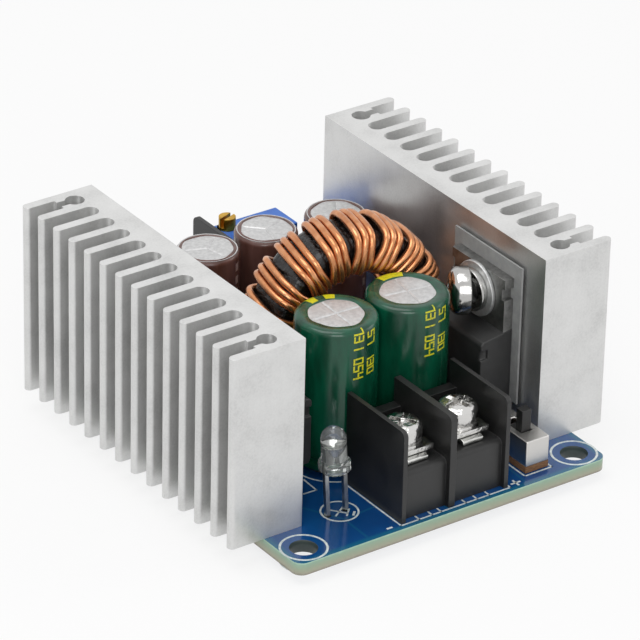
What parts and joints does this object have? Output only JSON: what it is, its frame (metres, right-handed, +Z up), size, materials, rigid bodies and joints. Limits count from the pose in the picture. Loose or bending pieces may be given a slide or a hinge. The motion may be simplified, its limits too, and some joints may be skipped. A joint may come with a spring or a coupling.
{
  "type": "buck converter module",
  "caption": "Step-down power converter board between two finned heatsinks, with toroidal inductor, capacitors, screw terminals, LED, slide switch and trimmer.",
  "frame": {"origin": "below the centre of the circuit board, in the plane of the clipped lead ends", "axes": "+Z up out of the component side, X across the heatsink fins, -Y towards the input terminals"},
  "size_m": [0.053, 0.0584, 0.0277],
  "materials": {
    "board": "satin",
    "solder": "satin",
    "heatsink": "satin",
    "core_tape": "matte",
    "copper": "gloss",
    "tinned_wire": "gloss",
    "terminal_plastic": "satin",
    "tinned_plate": "satin",
    "screw_steel": "gloss",
    "clear_lens": "gloss",
    "nickel_sheet": "gloss",
    "phenolic": "matte",
    "knob_plastic": "matte",
    "trimmer_blue": "satin",
    "brass": "satin",
    "epoxy": "matte",
    "silicone_pad": "matte",
    "chip_ceramic": "matte",
    "can_aluminium": "satin",
    "green_sleeve": "gloss",
    "brown_sleeve": "gloss",
    "bung_rubber": "matte"
  },
  "bodies": {
    "module": {"circuit_board": "board", "solder_joints": "solder", "heatsink_left": "heatsink", "heatsink_right": "heatsink", "inductor_core": "core_tape", "winding_strand_a": "copper", "winding_strand_b": "copper", "winding_strand_c": "copper", "input_capacitor_left_can": "can_aluminium", "input_capacitor_left_sleeve": "green_sleeve", "input_capacitor_left_bung": "bung_rubber", "input_capacitor_right_can": "can_aluminium", "input_capacitor_right_sleeve": "green_sleeve", "input_capacitor_right_bung": "bung_rubber", "output_capacitor_a_can": "can_aluminium", "output_capacitor_a_sleeve": "brown_sleeve", "output_capacitor_a_bung": "bung_rubber", "output_capacitor_b_can": "can_aluminium", "output_capacitor_b_sleeve": "brown_sleeve", "output_capacitor_b_bung": "bung_rubber", "output_capacitor_c_can": "can_aluminium", "output_capacitor_c_sleeve": "brown_sleeve", "output_capacitor_c_bung": "bung_rubber", "capacitor_leads": "tinned_wire", "input_terminal_housing": "terminal_plastic", "input_terminal_contacts": "tinned_plate", "input_terminal_screws": "screw_steel", "input_terminal_washers": "screw_steel", "output_terminal_housing": "terminal_plastic", "output_terminal_contacts": "tinned_plate", "output_terminal_screws": "screw_steel", "output_terminal_washers": "screw_steel", "led_lens": "clear_lens", "led_leads": "tinned_wire", "switch_shell": "nickel_sheet", "switch_base": "phenolic", "switch_pins": "tinned_wire", "trimmer_body": "trimmer_blue", "trimmer_pins": "tinned_wire", "transistor_case": "epoxy", "transistor_leadframe": "tinned_plate", "transistor_pad": "silicone_pad", "rectifier_case": "epoxy", "rectifier_leadframe": "tinned_plate", "rectifier_pad": "silicone_pad", "clamp_screws": "screw_steel", "clamp_flat_washers": "screw_steel", "clamp_spring_washers": "screw_steel", "controller_chip": "epoxy", "amplifier_chip": "epoxy", "shunt_resistor": "epoxy", "chip_resistors": "epoxy", "chip_capacitors": "chip_ceramic"},
    "switch_knob": {"switch_knob": "knob_plastic"},
    "trimmer_screw": {"trimmer_screw": "brass"}
  },
  "joints": [
    {"name": "switch_slide", "type": "slide", "parent": "module", "child": "switch_knob", "axis": [0, 1, 0], "range_m": [0, 0.002]},
    {"name": "trimmer_turn", "type": "hinge", "parent": "module", "child": "trimmer_screw", "pos_m": [0.0055, 0.0258, 0.013], "axis": [0, 0, 1], "continuous": true}
  ]
}
